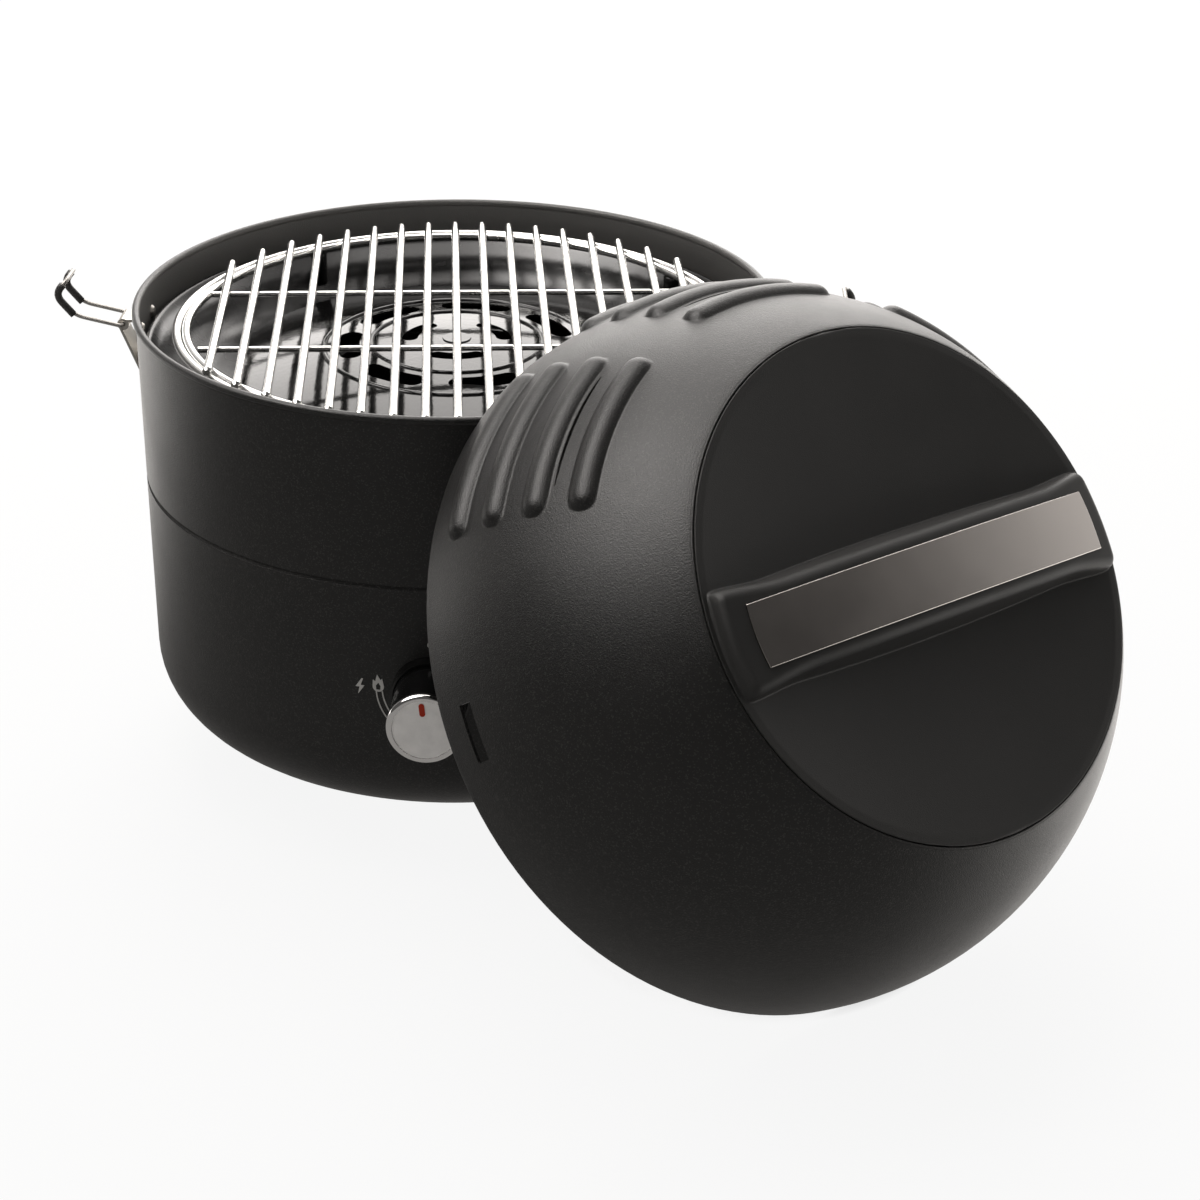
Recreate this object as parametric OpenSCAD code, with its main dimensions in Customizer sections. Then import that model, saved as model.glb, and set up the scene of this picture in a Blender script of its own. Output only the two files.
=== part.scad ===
// Portable gas grill: a round pot with a burner inside, a wire grate, two wire latches
// and a domed lid that is taken off and leans against the rim.
// Millimetres, +Z up. The origin is on the ground under the middle of the pot; the knob faces -Y.

/* [Base] */
// Outer radius of the pot's wall
base_r = 180; // [170:1:195]
// Height of the rim above the ground
base_h = 275.5; // [260:0.5:300]
// Sheet thickness of the pot
base_wall = 1.6; // [1.2:0.1:2.4]
// Radius of the rounded bottom corner
base_corner = 41; // [30:1:55]
// Radius of the wire rolled into the rim
rim_bead = 2.2; // [1.6:0.1:3]
// Height of the swaged line above the ground
swage_z = 178; // [165:1:200]
// Height of the feet
foot_h = 31; // [20:1:36]
// Distance of the feet from the middle
foot_pitch = 88; // [70:1:100]
// Radius of a foot where it meets the pot
foot_r = 14; // [11:0.5:18]

/* [Fire bowl and heat plate] */
// Depth of the bowl's flange below the rim
bowl_drop = 21; // [19:0.5:26]
// Gap between the bowl's flange and the pot's wall
bowl_gap = 4.4; // [3.4:0.1:8]
// Height from the bowl's floor to its flange
bowl_depth = 26; // [20:1:34]
// Gap round the heat plate on the bowl's level floor
plate_gap = 4; // [3:0.5:16]
// Rise of the heat plate's dome
plate_rise = 12; // [8:1:14]
// Number of kidney slots in the heat plate
plate_slots = 7; // [5:1:7]
// Radius of the ring of slots
plate_slot_r = 62; // [54:1:66]
// Width of a slot
plate_slot_w = 13; // [8:0.5:14]

/* [Grate] */
// Number of bars
grate_n = 17; // [13:2:17]
// Spacing of the bars
grate_pitch = 16.7; // [15:0.1:17]
// Diameter of a bar
bar_d = 4.8; // [4:0.2:5.6]
// Diameter of the ring wires
ring_d = 5; // [4:0.2:5.6]
// Diameter of the two cross rods
rod_d = 3.4; // [2.6:0.2:4]
// Distance of the outer ring's middle line from the bowl's edge
ring_in = 16; // [14:0.5:20]
// Distance of each cross rod from the middle
rod_y = 45; // [35:1:60]
// Turn of the grate in the bowl
grate_yaw = 5.1; // [-10:0.1:10]

/* [Lid] */
// Distance that the lid's rim stands out beyond the pot's wall
lid_over = 7.5; // [7:0.5:12]
// Sheet thickness of the lid
lid_wall = 1.5; // [1.2:0.1:2]
// Height of the straight skirt under the dome
lid_skirt = 8.8; // [6:0.2:14]
// Radius of the opening that holds the handle insert
disc_r = 127.5; // [115:0.5:132]
// Height of the lid's axis above level, as it leans
lid_el = 37.1; // [34:0.1:42]
// Distance sideways from the knob to where the lid leans on the pot
lid_side = 119.27; // [110:0.01:128]
// Turn of the lid about its own axis
lid_spin = -3.7; // [-8:0.1:8]
// Number of louvres in a group
louvre_n = 4; // [3:1:4]
// Half width of a group, in degrees
louvre_half = 13.5; // [12:0.5:17]
// Height that a louvre stands out
louvre_out = 4.2; // [3:0.2:4.6]
// Length of a latch slot
slot_l = 29; // [26:0.5:34]
// Height of a latch slot
slot_w = 8.8; // [7:0.1:10]
// Height of a latch slot's middle above the rim
slot_h = 24.1; // [21:0.1:26]

/* [Handle] */
// Length of the bright plate
plate_l = 223.5; // [190:0.5:226]
// Width of the bright plate
plate_w = 30.5; // [26:0.5:32]
// Height of the grip bar above the insert, in the middle
grip_h = 18.5; // [13:0.5:21]
// Radius of the grip bar's arch
grip_arch = 690; // [640:10:800]
// Turn of the handle against the lid's vents
handle_spin = 2.2; // [-6:0.1:6]

/* [Latches] */
// Distance of the bail's pivot from the pot's wall
pivot_out = 10; // [8:0.5:13]
// Depth of the pivot below the rim
pivot_drop = 19; // [17:0.5:22]
// Diameter of the bail wire
bail_d = 2.4; // [2:0.1:2.8]
// Diameter of the black sleeves
sleeve_d = 4; // [3.4:0.1:4.6]
// Half the distance between the two legs of a bail
bail_half = 11; // [10.5:0.1:12]

/* [Control] */
// Height of the knob's axis above the ground
knob_z = 117.5; // [105:0.5:130]
// Radius of the knob's cap
knob_r = 20.3; // [19:0.1:22]
// Distance that the cap's front stands out from the wall
knob_out = 41; // [36:0.5:44]
// Travel of the knob when it is pushed in
knob_push = 3; // [2:0.5:3]
// Turn of the knob's mark from the top, in degrees
knob_turn = 5; // [0:1:10]

/* [Hidden] */
$fn = 72;

// Gap between pieces that touch, and clearance of a turning fit
touch = 0.05;
run = 0.05;
// Clearance between the leaning lid and the rim
lean_gap = 0.5;

inner_r = base_r - base_wall;
floor_z = foot_h + base_wall;
rim_mid = base_r - 0.2;
lid_r = base_r + lid_over;
lid_az = asin(lid_side / base_r);
pivot_r = base_r + pivot_out;

// Heights in the stack inside the pot
flange_z = base_h - bowl_drop;
bowl_floor_z = flange_z - bowl_depth;
bowl_wall = 1.6;
bowl_r = inner_r - bowl_gap;
lip_r = bowl_r - 4;
lip_drop = 3;
slope_r = lip_r - 27;
level_r = lip_r - 40;
bowl_hole = 74;
plate_r = level_r - plate_gap;
plate_wall = 1.5;
plate_edge_z = bowl_floor_z + 9.5;
plate_top_z = plate_edge_z + plate_rise;
ring_z = flange_z + 5.5;
flare = 0.7;
bar_z = ring_z + ring_d / 2 + (bar_d + flare) / 2 + touch;
rod_z = bar_z - bar_d / 2 - rod_d / 2 - touch;
ring_r = bowl_r - ring_in;
ring2_r = ring_r - ring_d - 0.4;
peg_r = 5;

// Burner
burner_z = 188;
burner_r = 45;
burner_h = 12;
tube_r = 11;
tube_wall = 1.5;
elbow_r = 30;

// Valve, along -Y at the knob's height
valve_front = 12 - base_r;
valve_back = valve_front + 36;
bell_y = valve_back + 6;
plug_r = 6;
stem_r = 4;
cap_front = -(base_r + knob_out);
cap_h = 3.4;
cap_round = 2.4;
face_r = knob_r - 3.4;
barrel_r = knob_r - 0.7;
barrel_front = cap_front + cap_h;
barrel_back = -(base_r + knob_push + 2);
bezel_h = 8;

// Lid geometry in its own frame: rim at z = 0, dome centre at lid_skirt
disc_h = lid_skirt + sqrt(pow(lid_r, 2) - pow(disc_r, 2));
seat_h = disc_h - 14.3;
edge_bead = 1.6;
louvre_pitch = 8.2;
louvre_first = 5.5;
louvre_r = 9;
slit_turn = 3.2;
slit_w = 2.6;
louvre_mid = lid_r - louvre_r + louvre_out;
group_angles = [45, 90, 135];

// Place of the lid: its rim rests on the ground and its edge on the pot's rim
lid_cz = (lid_r - edge_bead) * cos(lid_el) + edge_bead * (1 - sin(lid_el)) + 2 * touch;
lean_mid = lid_r - edge_bead;
lean_near = rim_bead + edge_bead + lean_gap;
function lean_z(t) =
  lid_cz + edge_bead * sin(lid_el) + lean_mid * sin(t) * cos(lid_el) - (base_h - rim_bead);
function lean_reach(t) = rim_mid + sqrt(pow(lean_near, 2) - pow(lean_z(t), 2));
function lean(t) =
  sqrt(max(0, pow(lean_reach(t), 2) - pow(lean_mid * cos(t), 2)))
  + lean_mid * sin(t) * sin(lid_el) - edge_bead * cos(lid_el);
lid_out = max([for (t = [0:0.1:90]) if (abs(lean_z(t)) < lean_near) lean(t)]);

// Bail in its own plane: distance from the pot's axis and height
pivot = [pivot_r, base_h - pivot_drop];
bail_path = [pivot, pivot + [27, 6], pivot + [37, 18], pivot + [30, 26]];

// Solid rod through a list of points; the round joints stand a hair proud of it
module wire(points, d) {
  for (i = [0:len(points) - 2]) {
    step = points[i + 1] - points[i];
    length = norm(step);
    translate(points[i])
      rotate([0, acos(step[2] / length), atan2(step[1], step[0])])
        cylinder(d = d, h = length);
  }
  if (len(points) > 2)
    for (i = [1:len(points) - 2])
      translate(points[i]) sphere(d = d * 1.03);
}

// Cylinder along +Y from y0 to y1, at the knob's height
module along_y(y0, y1, r1, r2) {
  translate([0, y0, knob_z])
    rotate([-90, 0, 0]) cylinder(r1 = r1, r2 = r2, h = y1 - y0);
}

// Half section of a round-cornered pot
module pot_section(r, z0, corner, top) {
  translate([0, z0]) square([r - corner, top - z0]);
  translate([0, z0 + corner]) square([r, top - z0 - corner]);
  translate([r - corner, z0 + corner]) circle(corner);
}

// The four feet's places
foot_places = [for (a = [225, 315, 135, 45]) [foot_pitch * cos(a), foot_pitch * sin(a)]];

// Places of the burner bracket's screws
bracket_half = 34;
bracket_y = -62;

// Latch bracket: a strap on the wall, rolled into a knuckle; two rivets sit beside the knuckle
strap_t = 1.5;
strap_in = base_r + touch;
strap_out = strap_in + strap_t;
strap_low = pivot[1] - 31;
knuckle_r = 3.4;
rivet_side = 14.5;
rivet_turns = [for (s = [-1, 1]) s * asin(rivet_side / base_r)];

module at_latch(side) {
  rotate([0, 0, side < 0 ? 180 : 0]) children();
}

module base_shell() color([0.08, 0.08, 0.08]) {
  difference() {
    rotate_extrude() {
      difference() {
        pot_section(base_r, foot_h, base_corner, base_h - rim_bead);
        pot_section(inner_r, floor_z, base_corner - base_wall, base_h + 1);
        translate([base_r + 0.7, swage_z]) circle(1.6);
      }
      translate([rim_mid, base_h - rim_bead]) circle(rim_bead);
    }
    along_y(-base_r - 5, -base_r + 10, stem_r + 4, stem_r + 4);
    along_y(base_r - 10, base_r + 5, neck_r + 0.1, neck_r + 0.1);
    for (p = foot_places)
      translate([p[0], p[1], foot_h - 1]) cylinder(r = 2.6, h = base_wall + 2);
    for (s = [-1, 1])
      translate([s * (bracket_half + 8), bracket_y, foot_h - 1]) cylinder(r = 2.1, h = base_wall + 2);
    for (a = [0:45:315])
      rotate([0, 0, a]) translate([40, 0, foot_h - 1]) cylinder(r = 9, h = base_wall + 2);
    for (side = [-1, 1], a = rivet_turns)
      at_latch(side) rotate([0, 0, a])
        translate([inner_r - 5, 0, pivot[1]]) rotate([0, 90, 0]) cylinder(r = 2.1, h = 20);
  }
}

module foot(i) color([0.06, 0.06, 0.06])
  translate([foot_places[i][0], foot_places[i][1], 0])
    difference() {
      union() {
        cylinder(r1 = foot_r - 4, r2 = foot_r - 3, h = 1);
        translate([0, 0, 1]) cylinder(r1 = foot_r - 3, r2 = foot_r, h = foot_h - 1 - touch);
      }
      translate([0, 0, foot_h - 12]) cylinder(r = 2.6, h = 13);
    }

module foot_screws() color([0.6, 0.6, 0.6])
  for (p = foot_places)
    translate([p[0], p[1], 0]) {
      translate([0, 0, foot_h - 11]) cylinder(r = 2.5, h = 11 + base_wall + touch + 0.5);
      translate([0, 0, floor_z + touch]) cylinder(r1 = 5, r2 = 3.6, h = 2.6);
    }

// Printed marks: 2-D, seen from the front, centred on the knob
mark_r = 28.6;
module flame_mark() {
  difference() {
    union() {
      circle(r = 3.6);
      polygon([[-3.6, 0.4], [-3.3, 4.6], [-1.9, 3.4], [-0.6, 8.4], [1.5, 4.6], [2.6, 5.8], [3.6, 0.2]]);
    }
    polygon([[-1.3, -2.2], [-1.5, 0.6], [0.1, 2.8], [1.5, 0.4], [1.2, -2.2]]);
  }
}
module spark_mark() {
  polygon([[0.9, 4.8], [-2.4, -0.3], [-0.3, -0.3], [-1.2, -4.8], [2.4, 0.7], [0.3, 0.7], [1.8, 4.8]]);
}
module arc_mark() {
  intersection() {
    difference() {
      circle(mark_r + 1.5);
      translate([0.8, 0.8]) circle(mark_r - 1.6);
      difference() {
        circle(mark_r + 0.8);
        translate([0.8, 0.8]) circle(mark_r - 0.9);
      }
    }
    polygon([[0, 0], [-60, -3], [-60, -60], [-24, -60]]);
  }
}
module dial_print() color([0.6, 0.6, 0.6])
  intersection() {
    difference() {
      cylinder(r = base_r + 0.3, h = base_h, $fn = 720);
      translate([0, 0, -1]) cylinder(r = base_r + touch, h = base_h + 2, $fn = 720);
    }
    translate([0, -base_r + 20, knob_z])
      rotate([90, 0, 0]) linear_extrude(30) {
        translate([0, mark_r - 0.3]) circle(r = 1.8);
        translate([-mark_r, 1.4]) scale(0.86) flame_mark();
        translate([-mark_r - 10, 0.4]) spark_mark();
        arc_mark();
      }
  }

module bowl_bracket(i) color([0.3, 0.3, 0.3])
  rotate([0, 0, 90 + 120 * i]) {
    shelf_z = flange_z - lip_drop - bowl_wall - touch;
    intersection() {
      translate([lip_r - 5, -12, shelf_z - 24]) cube([20, 24, 24]);
      difference() {
        cylinder(r = inner_r - touch, h = base_h, $fn = 360);
        translate([0, 0, -1]) cylinder(r = lip_r, h = base_h + 2, $fn = 360);
        translate([0, 0, -1]) cylinder(r = inner_r - 1.6, h = shelf_z - 0.6, $fn = 360);
      }
    }
  }

// Pressed sheet of thickness t under a skin line
module sheet(skin, t) {
  polygon(concat(skin, [for (i = [len(skin) - 1:-1:0]) skin[i] - [0, t]]));
}

// The bowl's flange and slope, and below them its level floor
module fire_bowl() color([0.05, 0.05, 0.05]) {
  rotate_extrude() {
    sheet([
      [bowl_r, flange_z], [lip_r, flange_z - lip_drop], [lip_r - 8, flange_z - 8.5],
      [slope_r, bowl_floor_z + 3]
    ], bowl_wall);
    translate([bowl_r, flange_z - bowl_wall / 2]) circle(1.9);
  }
  for (a = [0:90:270])
    rotate([0, 0, a + 38])
      translate([(ring_r + ring2_r) / 2, 0, flange_z - 15])
        cylinder(r = peg_r, h = ring_z - ring_d / 2 - touch - flange_z + 15);
}

module bowl_floor() color([0.05, 0.05, 0.05])
  rotate_extrude()
    sheet([[slope_r - touch, bowl_floor_z + 3], [level_r, bowl_floor_z], [bowl_hole, bowl_floor_z]], bowl_wall);

// A kidney slot about the plate's axis
module kidney(r, w, half, a) {
  rotate([0, 0, a]) {
    rotate([0, 0, -half]) rotate_extrude(angle = 2 * half)
      translate([r - w / 2, plate_edge_z - 10]) square([w, plate_rise + 20]);
    for (s = [-1, 1])
      rotate([0, 0, s * half]) translate([r, 0, plate_edge_z - 10]) cylinder(r = w / 2 + 0.05, h = plate_rise + 20);
  }
}

module heat_plate() color([0.04, 0.04, 0.04]) {
  dome = (pow(plate_r, 2) + pow(plate_rise, 2)) / (2 * plate_rise);
  slot_half = 180 / plate_slots - 12.5;
  difference() {
    union() {
      difference() {
        intersection() {
          translate([0, 0, plate_top_z - dome]) sphere(r = dome, $fn = 360);
          translate([0, 0, plate_edge_z - plate_wall - 1]) cylinder(r = plate_r, h = plate_rise + 10, $fn = 180);
        }
        translate([0, 0, plate_top_z - dome - plate_wall]) sphere(r = dome, $fn = 360);
      }
      translate([0, 0, plate_top_z - plate_wall - 0.6]) cylinder(r1 = 9, r2 = 8, h = plate_wall + 1.2);
      rotate_extrude($fn = 180) {
        translate([plate_r - plate_wall, bowl_floor_z + touch])
          square([plate_wall, plate_edge_z - plate_wall / 2 - bowl_floor_z - touch]);
        for (r = [plate_slot_r - 13, plate_slot_r + 14])
          translate([r, plate_top_z - dome + sqrt(pow(dome, 2) - pow(r, 2)) - 0.6]) circle(1.8);
      }
    }
    for (i = [0:plate_slots - 1])
      kidney(plate_slot_r, plate_slot_w, slot_half, 84 + 360 / plate_slots * i);
    for (a = [30, 150, 270])
      kidney(27, 9, 24, a + 5);
  }
}

module burner_head() color([0.35, 0.35, 0.35])
  difference() {
    translate([0, 0, burner_z]) cylinder(r = burner_r, h = burner_h);
    translate([0, 0, burner_z + 3]) cylinder(r = burner_r - 4, h = burner_h);
    translate([0, 0, burner_z - 1]) cylinder(r = tube_r - tube_wall, h = 6);
    for (a = [0:15:345])
      rotate([0, 0, a]) translate([burner_r - 6, 0, burner_z + 8]) rotate([0, 90, 0]) cylinder(r = 1.4, h = 10);
  }

module burner_cap() color([0.3, 0.3, 0.3])
  translate([0, 0, burner_z + burner_h + touch]) {
    cylinder(r = burner_r + 2, h = 3);
    translate([0, 0, 3]) cylinder(r1 = burner_r + 2, r2 = burner_r - 8, h = 3);
  }

// Mixing tube: bell, level run, elbow and riser, with radius r
module mixing_tube(r, bell) {
  along_y(bell_y, bell_y + 14, bell, r);
  along_y(bell_y + 14, -elbow_r, r, r);
  translate([0, -elbow_r, knob_z + elbow_r])
    rotate([0, 90, 0]) rotate_extrude(angle = 90) translate([elbow_r, 0]) circle(r);
  translate([0, 0, knob_z + elbow_r]) cylinder(r = r, h = burner_z - touch - knob_z - elbow_r);
}

module venturi_tube() color([0.55, 0.55, 0.55])
  difference() {
    mixing_tube(tube_r, tube_r + 4);
    mixing_tube(tube_r - tube_wall, tube_r + 4 - tube_wall);
    translate([0, 0, burner_z - 1]) cylinder(r = tube_r - tube_wall, h = 3);
  }

module burner_bracket() color([0.5, 0.5, 0.5]) {
  seat = knob_z - tube_r - touch;
  translate([-bracket_half, bracket_y - 10, seat - 1.6]) cube([2 * bracket_half, 20, 1.6]);
  for (s = [-1, 1]) {
    translate([s * bracket_half - 0.8, bracket_y - 10, floor_z + touch])
      cube([1.6, 20, seat - floor_z - touch]);
    difference() {
      translate([s * (bracket_half + 7.5) - 8.3, bracket_y - 10, floor_z + touch]) cube([16.6, 20, 1.6]);
      translate([s * (bracket_half + 8), bracket_y, floor_z - 1]) cylinder(r = 2.1, h = 5);
    }
  }
}

module burner_screws() color([0.6, 0.6, 0.6])
  for (s = [-1, 1])
    translate([s * (bracket_half + 8), bracket_y, 0]) {
      translate([0, 0, foot_h - 5]) cylinder(r = 2, h = 5 + base_wall + 1.6 + 2 * touch + 0.5);
      translate([0, 0, floor_z + 1.6 + 2 * touch]) cylinder(r1 = 4, r2 = 3, h = 2);
    }

module gas_jet() color([0.75, 0.6, 0.3])
  difference() {
    union() {
      along_y(valve_back + touch, valve_back + 4, 6, 6);
      along_y(valve_back + 4, valve_back + 10, 4.5, 2.5);
    }
    along_y(valve_back - 1, valve_back + 11, 0.8, 0.8);
  }

module valve_body() color([0.7, 0.6, 0.35])
  difference() {
    union() {
      along_y(valve_front, valve_back, 11, 11);
      translate([0, (valve_front + valve_back) / 2 - 8, knob_z - 11]) cube([18, 16, 22]);
    }
    along_y(valve_front - 1, valve_back - 8, plug_r + run, plug_r + run);
    translate([13, (valve_front + valve_back) / 2, knob_z]) rotate([0, 90, 0]) cylinder(r = 4.1, h = 10);
  }

holder_w = 60;
holder_h = 40;
holder_t = 1.6;
module valve_bracket() color([0.5, 0.5, 0.5]) {
  y0 = valve_front - holder_t - touch;
  difference() {
    translate([-holder_w / 2, y0, knob_z - holder_h / 2]) cube([holder_w, holder_t, holder_h]);
    along_y(y0 - 1, y0 + 3, plug_r + 1, plug_r + 1);
  }
  intersection() {
    union() {
      for (s = [-1, 1])
        translate([s * (holder_w - holder_t) / 2 - holder_t / 2, -base_r, knob_z - holder_h / 2])
          cube([holder_t, base_r + y0 + 0.5, holder_h]);
    }
    cylinder(r = inner_r - touch, h = base_h, $fn = 360);
  }
}

module valve_plug() color([0.75, 0.65, 0.4])
  difference() {
    along_y(valve_front + 2, valve_back - 9, plug_r, plug_r);
    along_y(valve_front + 1, valve_front + 22, stem_r + run, stem_r + run);
  }

module valve_stem() color([0.6, 0.6, 0.6])
  along_y(barrel_front + 3, valve_front + 16, stem_r, stem_r);

supply_x = 70;
supply_run = 30;
supply_d = 8;
valve_y = (valve_front + valve_back) / 2;
inlet_y = base_r - 34;
neck_r = 9;
stub_r = 7.94;
stub_l = 14;
nut_h = 6;
module supply_tube() color([0.75, 0.72, 0.65])
  wire([
    [14, valve_y, knob_z], [supply_x, valve_y, knob_z], [supply_x, inlet_y - supply_run, knob_z],
    [0, inlet_y - supply_run, knob_z], [0, inlet_y - touch, knob_z]
  ], supply_d);

module gas_inlet() color([0.75, 0.65, 0.4])
  difference() {
    union() {
      along_y(inlet_y, inner_r - 6, neck_r - 2.5, neck_r - 2.5);
      along_y(inner_r - 6, sqrt(pow(inner_r, 2) - pow(13, 2)) - touch, 13, 13);
      along_y(inner_r - 1.5, base_r + nut_h + 2, neck_r, neck_r);
      along_y(base_r + nut_h + 2, base_r + nut_h + 2 + stub_l, stub_r, stub_r);
    }
    along_y(inlet_y + 8, base_r + nut_h + 3 + stub_l, 3, 3);
  }

module inlet_nut() color([0.7, 0.7, 0.7])
  difference() {
    intersection() {
      along_y(base_r + touch, base_r + nut_h, 14, 14);
      translate([0, base_r - 1, knob_z])
        rotate([-90, 0, 0]) cylinder(r = 14.5, h = nut_h + 2, $fn = 6);
    }
    along_y(base_r - 1, base_r + nut_h + 1, neck_r + touch, neck_r + touch);
  }

electrode_x = -(burner_r + 6.5);
lead_z = burner_z - 38;
lead_d = 2.6;
module spark_electrode() color([0.9, 0.9, 0.88]) {
  translate([electrode_x, 0, burner_z - 14]) cylinder(r = 3, h = 20);
  translate([electrode_x, 0, burner_z + 6]) cylinder(r = 1, h = 6);
  translate([electrode_x + 2, -4, burner_z - 1.2]) cube([8, 8, 1.1]);
}

module electrode_lead() color([0.15, 0.15, 0.15])
  wire([
    [electrode_x, 0, burner_z - 14 - touch], [electrode_x, 0, lead_z], [electrode_x, valve_y, lead_z],
    [electrode_x, valve_y, knob_z], [-11 - touch, valve_y, knob_z]
  ], lead_d);

module knob_bezel() color([0.1, 0.1, 0.1])
  difference() {
    along_y(-base_r - bezel_h, -base_r + 6, barrel_r + 1.6, barrel_r + 1.6);
    along_y(-base_r - bezel_h - 1, -base_r + 7, barrel_r + 0.5, barrel_r + 0.5);
    cylinder(r = base_r + touch, h = base_h, $fn = 720);
  }

module knob_barrel() color([0.03, 0.03, 0.03])
  difference() {
    along_y(barrel_front + touch, barrel_back, barrel_r, barrel_r);
    difference() {
      along_y(barrel_front + 2.4, barrel_back + 1, barrel_r - 2.4, barrel_r - 2.4);
      along_y(barrel_front, barrel_back - 5, stem_r + 3, stem_r + 3);
    }
    along_y(barrel_front + 2.9, barrel_back + 1, stem_r + 0.03, stem_r + 0.03);
  }

module knob_cap() color([0.85, 0.85, 0.85])
  translate([0, barrel_front, knob_z])
    rotate([90, 0, 0]) rotate_extrude()
      difference() {
        union() {
          square([knob_r - cap_round, cap_h]);
          square([knob_r, cap_h - cap_round]);
          intersection() {
            translate([knob_r - cap_round, cap_h - cap_round]) circle(cap_round);
            square([knob_r + 1, cap_h + 1]);
          }
        }
        translate([-1, 1.4]) square([face_r + 0.1 + 1, cap_h]);
      }

face_in = 0.4;
module knob_face() color([0.8, 0.8, 0.8])
  along_y(cap_front + face_in, barrel_front - 1.4 - touch, face_r, face_r);

module knob_marker() color([0.8, 0.2, 0.1])
  translate([0, cap_front + face_in - touch, knob_z])
    rotate([90, -knob_turn, 0]) translate([0, face_r - 5.2]) linear_extrude(0.25) {
      translate([-1.5, -2.3]) square([3, 4.6]);
      translate([0, 2.3]) circle(1.5);
      translate([0, -2.3]) circle(1.5);
    }

module grate_bars() color([0.9, 0.9, 0.9])
  rotate([0, 0, grate_yaw])
    for (k = [-(grate_n - 1) / 2:(grate_n - 1) / 2]) {
      x = k * grate_pitch;
      half = sqrt(pow(ring_r + 3, 2) - pow(x, 2));
      translate([x, -half + 14, bar_z]) rotate([-90, 0, 0]) cylinder(d = bar_d, h = 2 * half - 14 - bar_d / 2);
      translate([x, -half, bar_z]) rotate([-90, 0, 0]) cylinder(d1 = bar_d - 1.8, d2 = bar_d + flare, h = 1.5);
      translate([x, -half + 1.5, bar_z]) rotate([-90, 0, 0]) cylinder(d1 = bar_d + flare, d2 = bar_d, h = 12.5);
      translate([x, half - bar_d / 2, bar_z]) sphere(d = bar_d);
    }

module grate_rings() color([0.88, 0.88, 0.88])
  rotate_extrude()
    for (r = [ring_r, ring2_r])
      translate([r, ring_z]) circle(d = ring_d);

module grate_rods() color([0.88, 0.88, 0.88])
  rotate([0, 0, grate_yaw])
    for (s = [-1, 1]) {
      half = sqrt(pow(ring2_r - ring_d / 2 - 0.1, 2) - pow(rod_y + rod_d / 2, 2));
      translate([-half, s * rod_y, rod_z]) rotate([0, 90, 0]) cylinder(d = rod_d, h = 2 * half);
    }

// Latch bracket on the +X side: the strap leans from the wall to the knuckle and turns back
module latch_bracket(side) color([0.6, 0.58, 0.56])
  at_latch(side) {
    cheek = bail_half - bail_d / 2 - 0.4;
    difference() {
      union() {
        intersection() {
          difference() {
            cylinder(r = strap_out, h = base_h, $fn = 360);
            translate([0, 0, -1]) cylinder(r = strap_in, h = base_h + 2, $fn = 360);
          }
          union() {
            translate([base_r - 10, -cheek, strap_low]) cube([20, 2 * cheek, 38]);
            translate([base_r - 10, -rivet_side - 4.6, pivot[1] - 6]) cube([20, 2 * rivet_side + 9.2, 12]);
          }
        }
        translate([0, cheek - 0.6, 0]) rotate([90, 0, 0]) linear_extrude(2 * cheek - 1.2)
          polygon([
            [pivot_r + 2.9, pivot[1] - 0.6], [pivot_r + 1.5, pivot[1] - 0.1], [base_r + 0.6, strap_low + 2.6],
            [base_r + 0.6, strap_low + 0.2], [base_r + 1.2, strap_low + 0.2]
          ]);
        translate([pivot_r, -cheek + 1, pivot[1]]) rotate([-90, 0, 0]) cylinder(r = knuckle_r, h = 2 * cheek - 2);
        translate([base_r + 0.8, -cheek + 1, pivot[1] + 1.4]) cube([pivot_r - base_r - 0.8, 2 * cheek - 2, strap_t]);
      }
      translate([pivot_r, -20, pivot[1]]) rotate([-90, 0, 0]) cylinder(d = bail_d + 2 * run, h = 40);
      for (a = rivet_turns)
        rotate([0, 0, a]) translate([base_r - 2, 0, pivot[1]]) rotate([0, 90, 0]) cylinder(r = 2.1, h = 5);
    }
  }

module latch_rivets() color([0.7, 0.7, 0.7])
  for (side = [-1, 1], a = rivet_turns)
    at_latch(side) rotate([0, 0, a]) translate([inner_r - 1.5, 0, pivot[1]]) rotate([0, 90, 0]) {
      cylinder(r1 = 2.6, r2 = 3.8, h = 1.4);
      cylinder(r = 2, h = strap_out - inner_r + 2.4);
      translate([0, 0, strap_out - inner_r + 1.5 + touch]) cylinder(r1 = 3.6, r2 = 2.6, h = 1);
    }

// Places along one leg of the bail, in the pot's frame
function leg(y, from) = [for (i = [from:3]) [bail_path[i][0], y, bail_path[i][1]]];

module bail_wire(side) color([0.55, 0.55, 0.55])
  at_latch(side) {
    wire(concat(leg(-bail_half, 0), [for (i = [3:-1:0]) [bail_path[i][0], bail_half, bail_path[i][1]]]), bail_d);
    wire([[bail_path[0][0], -bail_half, bail_path[0][1]], [bail_path[0][0], bail_half, bail_path[0][1]]], bail_d);
    for (s = [-1, 1])
      translate([bail_path[0][0], s * bail_half, bail_path[0][1]]) sphere(d = bail_d * 1.03);
  }

module bail_grip(side) color([0.05, 0.05, 0.05])
  at_latch(side)
    for (s = [-1, 1]) {
      points = leg(s * bail_half, 1);
      short = [points[0], points[1], points[1] + (points[2] - points[1]) * 0.72];
      difference() {
        wire(short, sleeve_d);
        wire(leg(s * bail_half, 0), bail_d + 0.06);
      }
    }

module on_lid() {
  translate([lid_out * sin(lid_az), -lid_out * cos(lid_az), lid_cz])
    rotate([90 - lid_el, 0, lid_az]) rotate([0, 0, lid_spin]) children();
}

module on_handle() {
  on_lid() rotate([0, 0, handle_spin]) children();
}

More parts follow.
